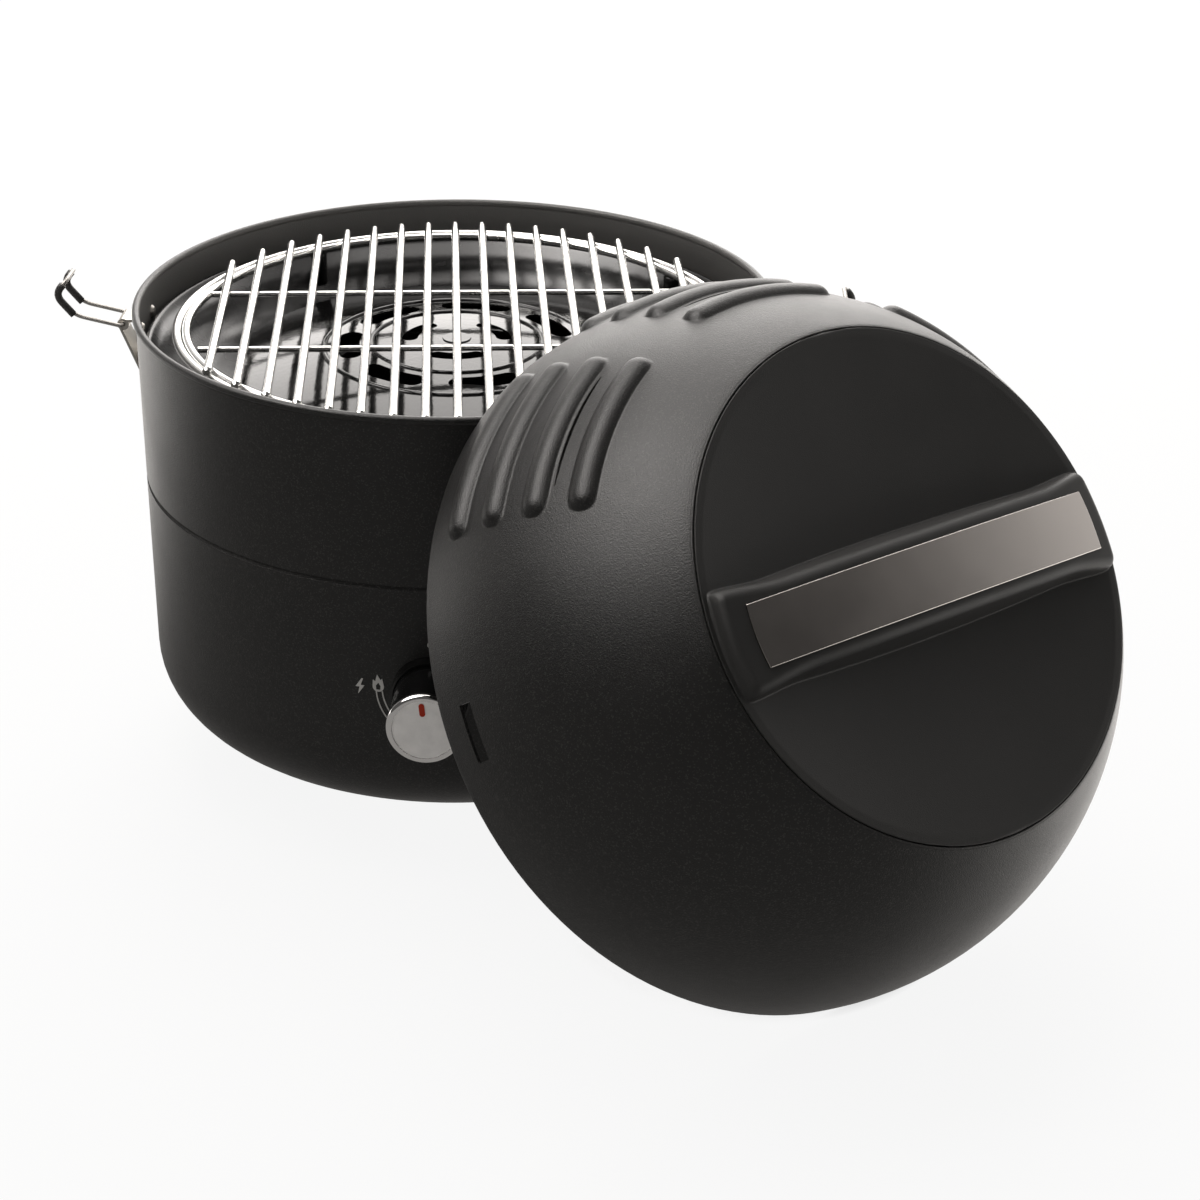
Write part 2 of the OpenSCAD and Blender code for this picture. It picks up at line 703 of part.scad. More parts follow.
// One louvre of radius r at elevation beta on the dome
module louvre(beta, r) {
  x = louvre_mid * cos(beta);
  z = lid_skirt + louvre_mid * sin(beta);
  rotate([0, 0, -louvre_half]) rotate_extrude(angle = 2 * louvre_half) translate([x, z]) circle(r);
  for (s = [-1, 1])
    rotate([0, 0, s * louvre_half]) translate([x, 0, z]) sphere(r * 1.01);
}

module louvres(r) {
  for (a = group_angles, i = [0:louvre_n - 1])
    rotate([0, 0, a]) louvre(louvre_first + louvre_pitch * i, r);
}

// Half section of the dome down to its rim, with radius r
module dome_section(r, low) {
  intersection() {
    translate([0, lid_skirt]) circle(r = r, $fn = 180);
    translate([0, lid_skirt]) square([r + 1, r + 1]);
  }
  translate([0, low]) square([r, lid_skirt - low]);
}

handle_spots = [for (x = [-70, 70], y = [-12, 12]) [x, y]];

module lid_dome() color([0.12, 0.12, 0.12])
  on_lid()
    difference() {
      union() {
        rotate_extrude() dome_section(lid_r, edge_bead);
        louvres(louvre_r);
        rotate_extrude() translate([lid_r - edge_bead, edge_bead]) circle(edge_bead);
      }
      difference() {
        union() {
          rotate_extrude() dome_section(lid_r - lid_wall, edge_bead - 5);
          louvres(louvre_r - lid_wall);
        }
        rotate_extrude() translate([lid_r - edge_bead, edge_bead]) circle(edge_bead);
        translate([0, 0, seat_h]) cylinder(r = disc_r + lid_wall, h = lid_r);
      }
      translate([0, 0, seat_h + lid_wall]) cylinder(r = disc_r, h = lid_r);
      for (a = group_angles)
        rotate([0, 0, a - louvre_half + 2]) rotate_extrude(angle = 2 * louvre_half - 4)
          translate([0, lid_skirt]) rotate(louvre_first + louvre_pitch * 2 + slit_turn)
            translate([lid_r - 12, -slit_w / 2]) square([20, slit_w]);
      for (s = [-1, 1])
        translate([s * lid_r, 0, slot_h]) cube([24, slot_l, slot_w], center = true);
      for (p = handle_spots)
        rotate([0, 0, handle_spin]) translate([p[0], p[1], seat_h - 1]) cylinder(r = 2.2, h = 4);
    }

grip_top = disc_h + grip_h;
// Sweep of a section along the grip's arch; x is the radius, y runs across
module along_arch(half) {
  translate([0, 0, grip_top - grip_arch])
    rotate([90, 0, 0]) rotate([0, 0, 90 - half]) rotate_extrude(angle = 2 * half, $fn = 720) children();
}

module grip_section() {
  top = plate_w / 2 + 1;
  polygon([
    [grip_arch - grip_h - 8, -top - 9], [grip_arch - 6, -top - 6], [grip_arch, -top],
    [grip_arch, top], [grip_arch - 6, top + 6], [grip_arch - grip_h - 8, top + 9]
  ]);
  for (s = [-1, 1])
    translate([grip_arch - 6, s * top]) circle(6);
}

module handle_disc() color([0.05, 0.05, 0.05])
  on_handle() {
    rim = disc_r - 1;
    dish = 9;
    dish_r = (pow(rim - 4, 2) + pow(dish, 2)) / (2 * dish);
    bottom = seat_h + lid_wall + touch;
    difference() {
      union() {
        difference() {
          translate([0, 0, bottom]) cylinder(r = rim, h = disc_h - bottom);
          translate([0, 0, disc_h - dish + dish_r]) sphere(r = dish_r, $fn = 360);
        }
        intersection() {
          along_arch(13) grip_section();
          translate([0, 0, bottom + 1]) cylinder(r = rim - 2.5, h = 60);
        }
      }
      for (p = handle_spots)
        translate([p[0], p[1], bottom - 1]) cylinder(r = 2.1, h = 11);
    }
  }

module handle_plate() color([0.8, 0.8, 0.8])
  on_handle()
    intersection() {
      along_arch(11)
        translate([grip_arch + touch, -plate_w / 2]) square([1.25, plate_w]);
      cylinder(r = plate_l / 2, h = grip_top + 20);
    }

module handle_screws() color([0.6, 0.6, 0.6])
  on_handle()
    for (p = handle_spots)
      translate([p[0], p[1], 0]) {
        translate([0, 0, seat_h - 2.2 - touch]) cylinder(r1 = 3, r2 = 4, h = 2.2);
        translate([0, 0, seat_h - 0.5]) cylinder(r = 2, h = 11);
      }

base_shell();
foot(0);  // foot_front_left
foot(1);  // foot_front_right
foot(2);  // foot_rear_left
foot(3);  // foot_rear_right
foot_screws();
dial_print();
bowl_bracket(0);  // bowl_bracket_1
bowl_bracket(1);  // bowl_bracket_2
bowl_bracket(2);  // bowl_bracket_3
fire_bowl();
bowl_floor();
heat_plate();
burner_head();
burner_cap();
venturi_tube();
burner_bracket();
burner_screws();
gas_jet();
valve_body();
valve_bracket();
valve_plug();
supply_tube();
gas_inlet();
inlet_nut();
spark_electrode();
electrode_lead();
knob_bezel();
valve_stem();
knob_barrel();
knob_cap();
knob_face();
knob_marker();
grate_bars();
grate_rings();
grate_rods();
latch_bracket(-1);  // latch_bracket_left
latch_bracket(1);  // latch_bracket_right
latch_rivets();
bail_wire(-1);  // bail_wire_left
bail_wire(1);  // bail_wire_right
bail_grip(-1);  // bail_grip_left
bail_grip(1);  // bail_grip_right
lid_dome();
handle_disc();
handle_plate();
handle_screws();
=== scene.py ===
import bmesh
import bpy
import numpy as np
from mathutils import Matrix


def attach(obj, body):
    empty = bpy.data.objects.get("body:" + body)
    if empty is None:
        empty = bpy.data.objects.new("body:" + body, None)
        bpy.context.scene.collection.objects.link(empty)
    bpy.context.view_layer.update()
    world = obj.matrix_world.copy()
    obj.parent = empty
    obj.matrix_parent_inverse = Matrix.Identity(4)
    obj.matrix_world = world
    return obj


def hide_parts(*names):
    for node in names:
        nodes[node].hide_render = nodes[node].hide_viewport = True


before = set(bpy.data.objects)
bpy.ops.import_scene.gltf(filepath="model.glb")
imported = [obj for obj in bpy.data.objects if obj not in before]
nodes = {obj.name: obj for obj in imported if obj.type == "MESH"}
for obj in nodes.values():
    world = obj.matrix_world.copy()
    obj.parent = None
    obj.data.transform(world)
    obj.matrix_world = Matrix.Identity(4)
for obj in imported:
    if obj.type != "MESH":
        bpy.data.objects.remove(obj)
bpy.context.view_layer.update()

# The camera stands in front of the knob, a little to its right, and looks down into the
# open pot. Its place and long lens give the frame of a 1200 by 1200 photograph.
aim = np.array([0.08430, 0.00212, 0.08353])
eye = np.array([0.11785, -1.33220, 0.75420])
roll = np.radians(0.89)
lens_mm, sensor_mm = 74.316, 36
look = (aim - eye) / np.linalg.norm(aim - eye)
side = np.cross(look, (0, 0, 1))
side /= np.linalg.norm(side)
rise = np.cross(side, look)
across = np.cos(roll) * side + np.sin(roll) * rise
upward = np.cos(roll) * rise - np.sin(roll) * side
pose = np.eye(4)
pose[:3, :4] = np.stack([across, upward, -look, eye], axis=1)
camera = bpy.data.objects.new("camera", bpy.data.cameras.new("camera"))
camera.data.lens = lens_mm
camera.data.sensor_width = sensor_mm
camera.matrix_world = Matrix(pose.tolist())
bpy.context.scene.collection.objects.link(camera)
bpy.context.scene.camera = camera
bpy.context.scene.view_settings.view_transform = "Standard"


# A white studio floor that runs on to the horizon. To the eye it mostly glows by itself, apart
# from the shut-in spot under the leaning lid; the rest is light that the object can shade. In
# gloss it is bright behind the object and at its right, and dim in front of it.
def shade(tree, kind, values=None, **settings):
    """A shader node of that kind: first its settings are made, then values go on its sockets."""
    node = tree.nodes.new("ShaderNode" + kind)
    for setting, choice in settings.items():
        setattr(node, setting, choice)
    for socket, value in (values or {}).items():
        node.inputs[socket].default_value = value
    return node


def join(tree, *links):
    """Links nodes, one row of four for each link: a node and its output, a node and its input."""
    for giver, given, taker, taken in links:
        tree.links.new(giver.outputs[given], taker.inputs[taken])


floor_half, floor_glow, glow_near, glow_far = 9.0, 0.9, 1.5, 5.0
floor_white, plain_white = (0.86, 0.86, 0.855, 1), (1, 1, 1, 1)
mirrored_front, mirrored_back, mirrored_tint = 0.28, 2.3, (1, 0.965, 0.925, 1)
mirrored_run, mirrored_lean, mirrored_left = (-0.2, 0.4), (0.8, 1.0, 0.0), -0.2
hidden_place, hidden_from, hidden_to = (0.175, -0.195, 0.0), 0.075, 0.11
shut_reach, shut_in, shut_open = 0.25, 0.2, 0.5
floor_mesh = bpy.data.meshes.new("studio_floor")
floor_mesh.from_pydata(
    [(-floor_half, -floor_half, 0), (floor_half, -floor_half, 0), (floor_half, floor_half, 0),
     (-floor_half, floor_half, 0)], [], [(0, 1, 2, 3)])
studio_floor = bpy.data.objects.new("studio_floor", floor_mesh)
bpy.context.scene.collection.objects.link(studio_floor)
floor_paint = bpy.data.materials.new("studio_floor")
floor_paint.use_nodes = True
tree = floor_paint.node_tree
tree.nodes.clear()
out = shade(tree, "OutputMaterial")
matt = shade(tree, "BsdfDiffuse", {"Color": floor_white})
glow = shade(tree, "Emission", {"Color": plain_white, "Strength": 1.0})
dim = shade(tree, "Emission", {"Color": mirrored_tint})
path = shade(tree, "LightPath")
where = shade(tree, "NewGeometry")
nearby = shade(tree, "VectorMath", {1: (mirrored_left, -floor_half, 0)}, operation="MAXIMUM")
depth = shade(tree, "VectorMath", {1: mirrored_lean}, operation="DOT_PRODUCT")
run = shade(tree, "MapRange", {"From Min": mirrored_run[0], "From Max": mirrored_run[1],
                               "To Min": mirrored_front, "To Max": mirrored_back},
            interpolation_type="SMOOTHSTEP")
under_lid = shade(tree, "VectorMath", {1: hidden_place}, operation="DISTANCE")
clear = shade(tree, "MapRange", {"From Min": hidden_from, "From Max": hidden_to})
shut = shade(tree, "AmbientOcclusion", {"Distance": shut_reach})
open_above = shade(tree, "MapRange", {"From Min": shut_in, "From Max": shut_open})
unhidden = shade(tree, "Math", operation="MAXIMUM")
far_off = shade(tree, "MapRange", {"From Min": glow_near, "From Max": glow_far,
                                   "To Min": floor_glow})
glowing = shade(tree, "Math", operation="MULTIPLY")
seen = shade(tree, "Math", operation="MULTIPLY")
blend = shade(tree, "MixShader")
last = shade(tree, "MixShader")
join(tree,
     (where, "Position", nearby, 0), (nearby, "Vector", depth, 0),
     (depth, "Value", run, "Value"), (run, "Result", dim, "Strength"),
     (where, "Position", under_lid, 0), (under_lid, "Value", clear, "Value"),
     (under_lid, "Value", far_off, "Value"), (shut, "AO", open_above, "Value"),
     (clear, "Result", unhidden, 0), (open_above, "Result", unhidden, 1),
     (unhidden, 0, glowing, 0), (far_off, "Result", glowing, 1),
     (path, "Is Camera Ray", seen, 0), (glowing, 0, seen, 1), (seen, 0, blend, "Fac"),
     (matt, 0, blend, 1), (glow, 0, blend, 2), (path, "Is Glossy Ray", last, "Fac"),
     (blend, 0, last, 1), (dim, 0, last, 2), (last, 0, out, "Surface"))
floor_mesh.materials.append(floor_paint)

# Surroundings: white to the eye; in gloss and bright metal white behind the object and dark
# in front of it, with a bright panel high at the left; and a low even light on all else.
room_even, room_tint, room_front, room_back = 0.36, (1, 0.985, 0.965, 1), 0.075, 0.95
room_run, room_lean, room_curve = (-0.06, 0.6), (0.25, 1.0, 0.0), 2.0
panel_way, panel_edge, panel_core, panel_light = (-0.52, -0.10, 0.85), 0.88, 0.98, 8.6
lamp_tint = (1, 0.965, 0.935)
world = bpy.data.worlds.new("studio")
world.use_nodes = True
bpy.context.scene.world = world
tree = world.node_tree
tree.nodes.clear()
out = shade(tree, "OutputWorld")
even = shade(tree, "Background", {"Color": room_tint, "Strength": room_even})
white = shade(tree, "Background", {"Color": plain_white, "Strength": 1.0})
mirrored = shade(tree, "Background", {"Strength": 1.0})
direction = shade(tree, "TexCoord")
part = shade(tree, "VectorMath", {1: room_lean}, operation="DOT_PRODUCT")
run_back = shade(tree, "MapRange", {"From Min": room_run[0], "From Max": room_run[1]})
curve = shade(tree, "Math", {1: room_curve}, operation="POWER")
ramp = shade(tree, "MapRange", {"To Min": room_front, "To Max": room_back})
toward_panel = shade(tree, "VectorMath", {1: panel_way}, operation="DOT_PRODUCT")
panel = shade(tree, "MapRange", {"From Min": panel_edge, "From Max": panel_core,
                                 "To Max": panel_light}, interpolation_type="SMOOTHSTEP")
both = shade(tree, "Math", operation="ADD")
tint = shade(tree, "VectorMath", {1: lamp_tint}, operation="MULTIPLY")
path = shade(tree, "LightPath")
glossy = shade(tree, "Math", operation="MAXIMUM")
pick = shade(tree, "MixShader")
first = shade(tree, "MixShader")
join(tree,
     (direction, "Generated", part, 0), (part, "Value", run_back, "Value"),
     (run_back, "Result", curve, 0), (curve, 0, ramp, "Value"),
     (direction, "Generated", toward_panel, 0), (toward_panel, "Value", panel, "Value"),
     (ramp, "Result", both, 0), (panel, "Result", both, 1),
     (both, 0, tint, 0), (tint, "Vector", mirrored, "Color"),
     (path, "Is Glossy Ray", glossy, 0), (path, "Is Transmission Ray", glossy, 1),
     (glossy, 0, pick, "Fac"), (even, 0, pick, 1), (mirrored, 0, pick, 2),
     (path, "Is Camera Ray", first, "Fac"), (pick, 0, first, 1), (white, 0, first, 2),
     (first, 0, out, "Surface"))

# Soft lamps: a wide box behind and above the grill, one over it and a small one at its left.
# Each row gives a lamp's place, the point that it faces, its width and its power.
for lamp_name, place, target, size, watts in (
    ("softbox_back", (0.1, 2.4, 1.45), (0.1, -0.1, 0.2), 2.2, 58),
    ("softbox_top", (-0.2, 0.6, 2.2), (0.05, -0.05, 0.2), 1.5, 20),
    ("softbox_left", (-1.3, -0.1, 1.95), (0.1, -0.1, 0.25), 1.1, 7),
):
    lamp = bpy.data.lights.new(lamp_name, "AREA")
    lamp.shape = "SQUARE"
    lamp.size = size
    lamp.energy = watts
    lamp.color = lamp_tint
    fixture = bpy.data.objects.new(lamp_name, lamp)
    aimed = np.array(target, float) - np.array(place, float)
    aimed /= np.linalg.norm(aimed)
    flat = np.cross(aimed, (0, 0, 1))
    flat /= np.linalg.norm(flat)
    turn = np.eye(4)
    turn[:3, :4] = np.stack([flat, np.cross(flat, aimed), -aimed, place], axis=1)
    fixture.matrix_world = Matrix(turn.tolist())
    bpy.context.scene.collection.objects.link(fixture)


# Pot: drawn steel sheet with a wire rolled into its rim and one swaged line, under a black
# powder coat, satin, with a fine orange peel and a faint lighter grain. Inside the pot's upper
# wall the coat is painted a lighter grey, a painted light for that wall, and it is dull in the
# swaged line.
def grain_group():
    """Fine grain of a sprayed or moulded surface: two noises give a height and a slow mottling,
    and the small cells of a Voronoi pattern give a sparse mask of flakes."""
    peel_detail, mottle_detail = 3, 5
    group = bpy.data.node_groups.new("Fine grain", "ShaderNodeTree")
    for socket, kind in (("Vector", "NodeSocketVector"), ("Grain scale", "NodeSocketFloat"),
                         ("Mottle scale", "NodeSocketFloat"), ("Flake scale", "NodeSocketFloat"),
                         ("Flake share", "NodeSocketFloat")):
        group.interface.new_socket(socket, in_out="INPUT", socket_type=kind)
    for socket in ("Height", "Mottle", "Flakes"):
        group.interface.new_socket(socket, in_out="OUTPUT", socket_type="NodeSocketFloat")
    given = group.nodes.new("NodeGroupInput")
    result = group.nodes.new("NodeGroupOutput")
    peel = shade(group, "TexNoise", {"Detail": peel_detail})
    slow = shade(group, "TexNoise", {"Detail": mottle_detail})
    cells = shade(group, "TexVoronoi")
    chance = shade(group, "SeparateColor")
    chosen = shade(group, "Math", operation="LESS_THAN")
    join(group,
         (given, "Vector", peel, "Vector"), (given, "Grain scale", peel, "Scale"),
         (given, "Vector", slow, "Vector"), (given, "Mottle scale", slow, "Scale"),
         (given, "Vector", cells, "Vector"), (given, "Flake scale", cells, "Scale"),
         (cells, "Color", chance, 0), (chance, 0, chosen, 0), (given, "Flake share", chosen, 1),
         (peel, "Fac", result, "Height"), (slow, "Fac", result, "Mottle"),
         (chosen, 0, result, "Flakes"))
    return group


fine_grain = grain_group()


def finish_of(name, colours, rough, grain, bump, flakes=(900, 0.0), flake_colour=None,
              metallic=0.0, specular=0.5):
    """A finish: the base colour runs between two colours and the roughness between two values
    with the slow mottling, the bump (strength, distance) follows the grain, and a share of
    flakes has its own colour. Grain gives the scales of the fine and the slow noise."""
    mottle_low, mottle_high = 0.3, 0.7
    material = bpy.data.materials.new(name)
    material.use_nodes = True
    tree = material.node_tree
    shader = tree.nodes["Principled BSDF"]
    where = shade(tree, "TexCoord")
    grained = shade(tree, "Group", {"Grain scale": grain[0], "Mottle scale": grain[1],
                                    "Flake scale": flakes[0], "Flake share": flakes[1]},
                    node_tree=fine_grain)
    tone = shade(tree, "Mix", {"A": (*colours[0], 1), "B": (*colours[1], 1)}, data_type="RGBA")
    spark = shade(tree, "Mix", {"B": (*(flake_colour or colours[1]), 1)}, data_type="RGBA")
    dull = shade(tree, "MapRange", {"From Min": mottle_low, "From Max": mottle_high,
                                    "To Min": rough[0], "To Max": rough[1]})
    relief = shade(tree, "Bump", {"Strength": bump[0], "Distance": bump[1]})
    shader.inputs["Metallic"].default_value = metallic
    shader.inputs["Specular IOR Level"].default_value = specular
    join(tree,
         (where, "Object", grained, "Vector"), (grained, "Mottle", tone, "Factor"),
         (tone, "Result", spark, "A"), (grained, "Flakes", spark, "Factor"),
         (spark, "Result", shader, "Base Color"), (grained, "Mottle", dull, "Value"),
         (dull, "Result", shader, "Roughness"), (grained, "Height", relief, "Height"),
         (relief, "Normal", shader, "Normal"))
    return material


def dress(material, *names):
    """Puts a finish on the carried-over nodes of those names."""
    for name in names:
        mesh = nodes[name].data
        mesh.materials.clear()
        mesh.materials.append(material)


powder_coat = finish_of(
    "powder_coat", ((0.009, 0.0088, 0.0085), (0.013, 0.0127, 0.0122)), (0.35, 0.41), (1500, 25),
    (0.7, 0.0003), flakes=(1700, 0.12), flake_colour=(0.028, 0.027, 0.0255), specular=0.36)
# The inner light tone is painted light: a lighter grey for the inner face of the pot's upper wall.
wall_inner, wall_outer, inner_from, inner_light_tone = 0.1786, 0.1790, 0.2, (0.11, 0.107, 0.102)
swage_z, swage_half, swage_rough = 0.178, 0.0015, 0.85
pot_coat = powder_coat.copy()
pot_coat.name = "pot_coat"
tree = pot_coat.node_tree
shader = tree.nodes["Principled BSDF"]
place = shade(tree, "TexCoord")
level_only = shade(tree, "VectorMath", {1: (1, 1, 0)}, operation="MULTIPLY")
from_axis = shade(tree, "VectorMath", operation="LENGTH")
inside = shade(tree, "MapRange", {"From Min": wall_outer, "From Max": wall_inner})
# Painted light: the lighter grey is mixed into the coat's colour on the inner face above the bowl,
# to make that wall look lit.
inner_painted_light = shade(tree, "Mix", {"B": (*inner_light_tone, 1)}, data_type="RGBA")
up_wall = shade(tree, "SeparateXYZ")
above = shade(tree, "Math", {1: inner_from}, operation="GREATER_THAN")
within = shade(tree, "Math", operation="MULTIPLY")
in_swage = shade(tree, "Math", {1: swage_z, 2: swage_half}, operation="COMPARE")
dull_swage = shade(tree, "MapRange", {"To Max": swage_rough})
tree.links.new(shader.inputs["Base Color"].links[0].from_socket, inner_painted_light.inputs["A"])
tree.links.new(shader.inputs["Roughness"].links[0].from_socket, dull_swage.inputs["To Min"])
join(tree,
     (place, "Object", level_only, 0), (level_only, "Vector", from_axis, 0),
     (from_axis, "Value", inside, "Value"), (place, "Object", up_wall, 0),
     (up_wall, "Z", above, 0), (inside, "Result", within, 0), (above, 0, within, 1),
     (within, 0, inner_painted_light, "Factor"), (inner_painted_light, "Result", shader, "Base Color"),
     (up_wall, "Z", in_swage, 0), (in_swage, 0, dull_swage, "Value"),
     (dull_swage, "Result", shader, "Roughness"))
dress(pot_coat, "base_shell")

# Feet: four moulded cones of black rubber under the pot's floor, which keep it off the table.
# Each is held by a screw from inside the pot.
foot_rubber = finish_of("foot_rubber", ((0.015, 0.015, 0.015), (0.022, 0.022, 0.022)),
                        (0.65, 0.75), (900, 60), (0.3, 0.0005))
dress(foot_rubber, "foot_front_left", "foot_front_right", "foot_rear_left", "foot_rear_right")

# Foot screws: zinc-plated steel with pan heads, which lie on the pot's floor and go down
# through it into the feet.
screw_steel = finish_of("screw_steel", ((0.5, 0.5, 0.49), (0.6, 0.6, 0.59)),
                        (0.25, 0.35), (900, 60), (0.1, 0.0003), metallic=1.0)
dress(screw_steel, "foot_screws")

# Dial marks: a dot, a flame, a spark and a tapered arc round the knob, printed on the pot's
# front in grey ink.
print_grey = finish_of("print_grey", ((0.34, 0.335, 0.32), (0.46, 0.45, 0.435)),
                       (0.5, 0.6), (1400, 120), (0.1, 0.0002))
dress(print_grey, "dial_print")

# Bowl brackets: three folded tabs of bare steel sheet, spot-welded to the inside of the pot's
# wall, under the bowl's flange.
inner_steel = finish_of("inner_steel", ((0.38, 0.38, 0.37), (0.48, 0.48, 0.47)),
                        (0.35, 0.5), (500, 40), (0.1, 0.0004), metallic=1.0)
dress(inner_steel, "bowl_bracket_1", "bowl_bracket_2", "bowl_bracket_3")

# Valve bracket: a plate of bare steel sheet behind the knob, folded back to the pot's wall at
# both sides and fixed there. It carries the valve.
dress(inner_steel, "valve_bracket")

# Valve body, its jet and its plug: turned brass. The jet is screwed into the body's back, and
# the plug turns inside the body.
turned_brass = finish_of("turned_brass", ((0.58, 0.42, 0.16), (0.68, 0.5, 0.2)),
                         (0.22, 0.34), (700, 60), (0.1, 0.0003), metallic=1.0)
dress(turned_brass, "valve_body", "gas_jet", "valve_plug")

# Supply tube and gas inlet: brass pipe, bent round the burner from the valve to a turned stub
# that goes out through the pot's back wall.
dress(turned_brass, "supply_tube", "gas_inlet")

# Inlet nut: a zinc-plated steel hexagon on the stub, which clamps the inlet to the wall from
# outside.
dress(screw_steel, "inlet_nut")

# Venturi tube, its bracket and the bracket's screws: bare steel pipe bent up to the burner, on
# a folded stand that plated screws hold to the pot's floor.
dress(inner_steel, "venturi_tube", "burner_bracket")
dress(screw_steel, "burner_screws")

# Burner head and cap: iron castings, rough from the mould. The head sits on top of the venturi
# tube, and the cap lies on it.
cast_burner = finish_of("cast_burner", ((0.06, 0.058, 0.055), (0.1, 0.098, 0.095)),
                        (0.6, 0.75), (420, 50), (0.5, 0.0012), metallic=0.4)
dress(cast_burner, "burner_head", "burner_cap")

# Spark electrode: a rod of white glazed ceramic with a wire in it, clipped beside the burner.
# Its lead pushes on from below.
ceramic = finish_of("ceramic", ((0.74, 0.72, 0.68), (0.8, 0.78, 0.74)),
                    (0.3, 0.4), (900, 60), (0.1, 0.0003))
dress(ceramic, "spark_electrode")

# Electrode lead: copper wire in a dark rubber jacket, laid inside the pot from the electrode
# to the valve.
lead_jacket = finish_of("lead_jacket", ((0.03, 0.03, 0.03), (0.045, 0.045, 0.045)),
                        (0.45, 0.55), (900, 60), (0.2, 0.0004))
dress(lead_jacket, "electrode_lead")


# Fire bowl: a pressed dish under black glass enamel with a rolled edge and four studs that
# carry the grate. It hangs in the pot on three brackets, and its floor is open in the middle.
same_point = 1e-6


def skin(name, *grids, round_trip=False, leave_out=None):
    """A surface over grids of points: four neighbours make a face, the last column joins the
    first on a round trip, cells marked to leave out stay open with a sharp edge, and points
    that coincide become one."""
    points, cells, start = [], [], 0
    for grid in grids:
        rows, columns = grid.shape[:2]
        index = start + np.arange(rows * columns).reshape(rows, columns)
        if round_trip:
            index = np.concatenate([index, index[:, :1]], axis=1)
        quads = np.stack([index[:-1, :-1], index[:-1, 1:], index[1:, 1:], index[1:, :-1]], axis=-1)
        cells.append(quads.reshape(-1, 4) if leave_out is None else quads[~leave_out])
        points.append(grid.reshape(-1, 3))
        start += rows * columns
    mesh = bpy.data.meshes.new(name)
    mesh.from_pydata(np.concatenate(points).tolist(), [], np.concatenate(cells).tolist())
    work = bmesh.new()
    work.from_mesh(mesh)
    bmesh.ops.remove_doubles(work, verts=work.verts, dist=same_point)
    work.to_mesh(mesh)
    work.free()
    mesh.shade_smooth()
    edge_of_corner = np.zeros(len(mesh.loops), int)
    mesh.loops.foreach_get("edge_index", edge_of_corner)
    faces_of_edge = np.bincount(edge_of_corner, minlength=len(mesh.edges))
    mesh.edges.foreach_set("use_edge_sharp", faces_of_edge == 1)
    piece = bpy.data.objects.new(name, mesh)
    bpy.context.scene.collection.objects.link(piece)
    return piece


def revolve(radius, height, turns):
    """A profile carried round the axis: (r cos t, r sin t, z)."""
    return np.stack([np.outer(radius, np.cos(turns)), np.outer(radius, np.sin(turns)),
                     np.repeat(np.asarray(height)[:, None], len(turns), axis=1)], axis=-1)


def bend(corners, reach, steps=7):
    """A path with rounded corners: at each corner c the parabola (1-t)^2 a + 2t(1-t) c + t^2 b,
    from a before it to b after it, both as far from it as its reach. A reach of 0 leaves a
    corner sharp."""
    corners = np.asarray(corners, float)
    reach = np.broadcast_to(np.asarray(reach, float), len(corners))[:, None]
    before = np.roll(corners, 1, axis=0) - corners
    after = np.roll(corners, -1, axis=0) - corners
    a = corners + reach * before / np.linalg.norm(before, axis=1, keepdims=True)
    b = corners + reach * after / np.linalg.norm(after, axis=1, keepdims=True)
    t = np.linspace(0, 1, steps)[None, :, None]
    curve = (1 - t) ** 2 * a[:, None] + 2 * t * (1 - t) * corners[:, None] + t ** 2 * b[:, None]
    return curve.reshape(-1, corners.shape[1])


all_round = np.linspace(0, 2 * np.pi, 181)[:-1]
bowl_r, bowl_z, bowl_bead, bowl_wall = 0.174, 0.2537, 0.0019, 0.0016
bead_turn = np.linspace(np.radians(-120), np.radians(115), 13)
bead = np.stack([bowl_r + bowl_bead * np.cos(bead_turn),
                 bowl_z + bowl_bead * np.sin(bead_turn)], axis=1)
bowl_corners = [(0.1722, 0.2542), (0.1700, 0.2515), (0.162, 0.246), (0.143, 0.2315),
                (0.130, 0.2285), (0.074, 0.2285)]
bowl_bends = [0, 0.0022, 0.004, 0.006, 0.006, 0]
bowl_skin = bend(bowl_corners, bowl_bends)
bowl_under = bowl_skin[::-1] - [0, bowl_wall]
bowl_line = np.concatenate([bead, bowl_skin, bowl_under, bead[:1]])
stud_r, stud_out, stud_foot, stud_top = 0.005, 0.1553, 0.2395, 0.25745
stud_edge, stud_soft = 0.001, 0.0003
stud_line = np.array([[0.0, stud_foot], [stud_r, stud_foot], [stud_r, stud_top - stud_edge],
                      [stud_r - stud_soft, stud_top - stud_soft],
                      [stud_r - stud_edge, stud_top], [0.0, stud_top]])
stud_round, stud_turns = np.linspace(0, 2 * np.pi, 33)[:-1], np.radians([38, 128, 218, 308])
stud = revolve(stud_line[:, 0], stud_line[:, 1], stud_round)
studs = [stud + stud_out * np.array([np.cos(a), np.sin(a), 0]) for a in stud_turns]
bowl = skin("bowl", revolve(bowl_line[:, 0], bowl_line[:, 1], all_round), *studs,
            round_trip=True)
enamel = finish_of("enamel", ((0.006, 0.006, 0.006), (0.010, 0.0098, 0.0095)),
                   (0.2, 0.3), (420, 30), (0.08, 0.0005), specular=0.6)
bowl.data.materials.append(enamel)
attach(bowl, "grill_base")
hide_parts("fire_bowl", "bowl_floor")

# Heat plate: a domed disc of steel sheet with kidney-shaped slots, under black glass enamel.
# It lies loose on the bowl's floor, over the burner.
plate_enamel = finish_of("plate_enamel", ((0.004, 0.004, 0.004), (0.008, 0.0078, 0.0075)),
                         (0.07, 0.12), (300, 30), (0.1, 0.0005), specular=0.34)
dress(plate_enamel, "heat_plate")

